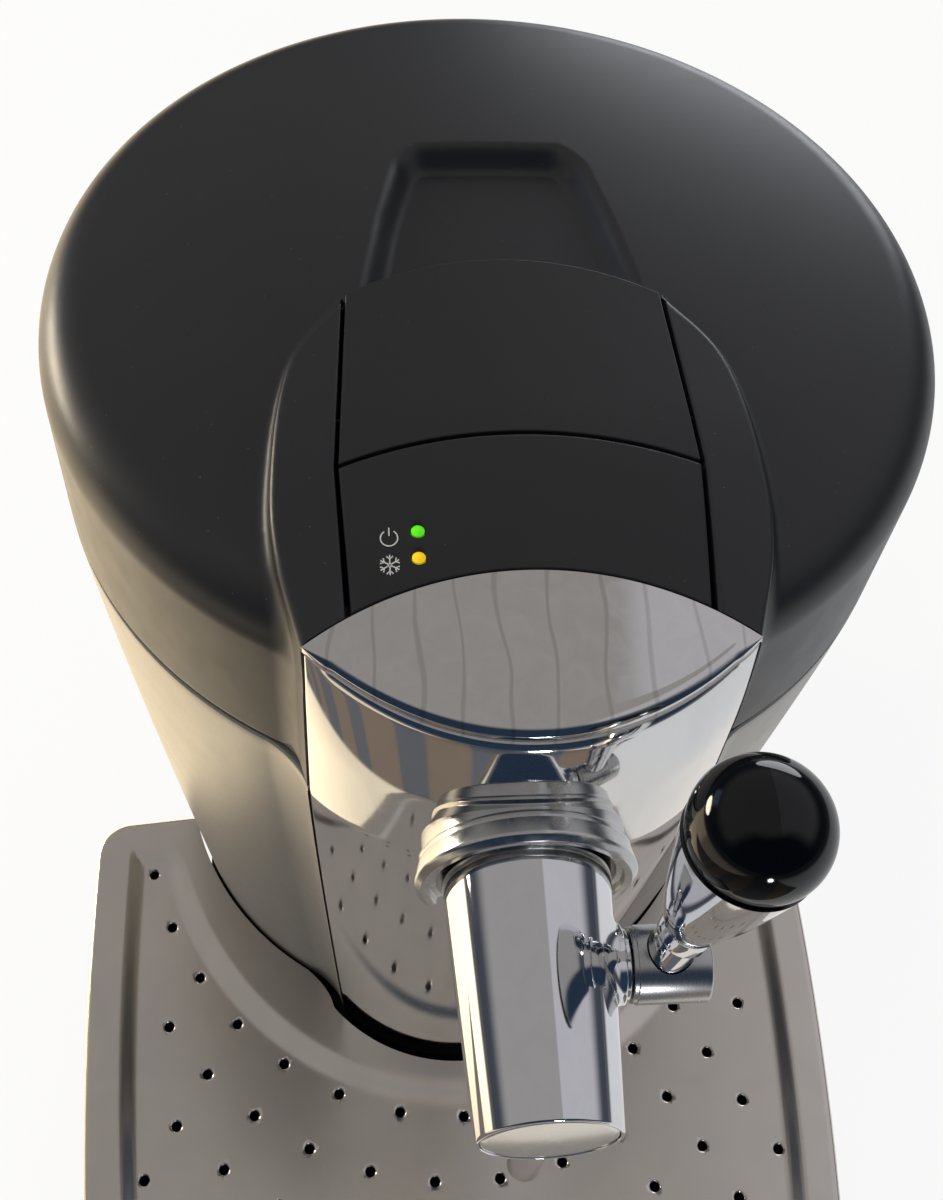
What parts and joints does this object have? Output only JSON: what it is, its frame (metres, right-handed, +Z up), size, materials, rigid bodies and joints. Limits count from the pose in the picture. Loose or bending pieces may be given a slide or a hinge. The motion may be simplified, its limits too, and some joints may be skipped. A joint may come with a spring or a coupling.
{
  "type": "draft beer dispenser",
  "caption": "Countertop draft beer cooler: insulated drum with hinged lid, chromed tap tower with a ball-knob lever, and a perforated drip tray in front.",
  "frame": {"origin": "middle of the bounding box's underside, on the table under the feet", "axes": "+Z up, the tap and drip tray face -Y, +X is to the right seen from the front"},
  "size_m": [0.323, 0.471, 0.4051],
  "materials": {
    "body_lacquer": "metallic grey lacquer over moulded plastic, satin gloss",
    "lid_black": "fine satin dark grey",
    "knob_black": "polished",
    "chromed_metal": "mirror",
    "chromed_plastic": "chrome plated, mirror",
    "brushed_metal": "fine brushed",
    "pressed_steel": "bright pressed stainless sheet",
    "base_plastic": "fine texture",
    "rubber": "matte",
    "aluminium": "satin",
    "foam": "rigid closed cell foam",
    "ceramic": "white ceramic faces",
    "board_green": "solder mask",
    "liner": "satin",
    "lens_green": "clear green lamp lens",
    "lens_yellow": "clear yellow lamp lens"
  },
  "bodies": {
    "machine": {"foot_rear_left": "rubber", "foot_rear_right": "rubber", "foot_front_left": "rubber", "foot_front_right": "rubber", "base_plate": "base_plastic", "body_shell": "body_lacquer", "tower_front": "chromed_plastic", "tower_cap": "chromed_plastic", "control_panel": "lid_black", "tower_core": "base_plastic", "led_board": "board_green", "lamp_power": "lens_green", "lamp_cooling": "lens_yellow", "hinge_bracket": "base_plastic", "hinge_pin": "aluminium", "tap_barrel": "chromed_metal", "barrel_end_cap": "chromed_metal", "tap_collar": "brushed_metal", "spout": "chromed_metal", "lever_bush": "chromed_metal", "keg_well": "aluminium", "insulation_jacket": "foam", "cold_plate": "aluminium", "thermoelectric_module": "ceramic", "heat_sink": "aluminium", "fan_frame": "base_plastic", "power_board": "board_green", "rear_grille": "base_plastic", "service_panel": "base_plastic", "power_inlet": "base_plastic"},
    "lid": {"lid_shell": "lid_black", "lid_liner": "liner", "lid_gasket": "rubber", "lid_hinge_leaf": "lid_black", "flap_pin_right": "aluminium", "flap_pin_left": "aluminium"},
    "tube_flap": {"tube_flap": "lid_black"},
    "tap_lever": {"crank_shaft": "aluminium", "lever_hub": "brushed_metal", "lever_stem": "chromed_metal", "lever_ferrule": "chromed_metal", "lever_knob": "knob_black"},
    "valve_spool": {"valve_spool": "aluminium"},
    "drip_tray": {"drip_pan": "base_plastic"},
    "drip_grid": {"drip_grid": "pressed_steel"},
    "fan_rotor": {"fan_rotor": "base_plastic"},
    "power_rocker": {"power_switch": "knob_black"}
  },
  "joints": [
    {"name": "lid_hinge", "type": "hinge", "parent": "machine", "child": "lid", "pos_m": [0, 0.2295, 0.306], "axis": [-1, 0, 0], "range_deg": [0, 80]},
    {"name": "tube_flap_hinge", "type": "hinge", "parent": "lid", "child": "tube_flap", "pos_m": [0, 0.01545, 0.38032], "axis": [1, 0, 0], "range_deg": [0, 85]},
    {"name": "tap_lever", "type": "hinge", "parent": "machine", "child": "tap_lever", "pos_m": [0, -0.1155, 0.312], "axis": [1, 0, 0], "range_deg": [0, 60]},
    {"name": "valve_spool_slide", "type": "slide", "parent": "machine", "child": "valve_spool", "axis": [0, 1, 0], "range_m": [0, 0.0065]},
    {"name": "drip_tray_slide", "type": "slide", "parent": "machine", "child": "drip_tray", "axis": [0, -1, 0], "range_m": [0, 0.12]},
    {"name": "drip_grid_lift", "type": "slide", "parent": "drip_tray", "child": "drip_grid", "axis": [0, 0, 1], "range_m": [0, 0.01]},
    {"name": "fan_spin", "type": "hinge", "parent": "machine", "child": "fan_rotor", "pos_m": [0, 0.0825, 0.043], "axis": [0, 0, 1], "continuous": true},
    {"name": "power_switch", "type": "hinge", "parent": "machine", "child": "power_rocker", "pos_m": [-0.013, 0.19977, 0.048], "axis": [1, 0, 0], "range_deg": [0, 12]}
  ],
  "couplings": [
    {"joint": "valve_spool_slide", "follows": "tap_lever", "m_per_rad": 0.0062}
  ]
}
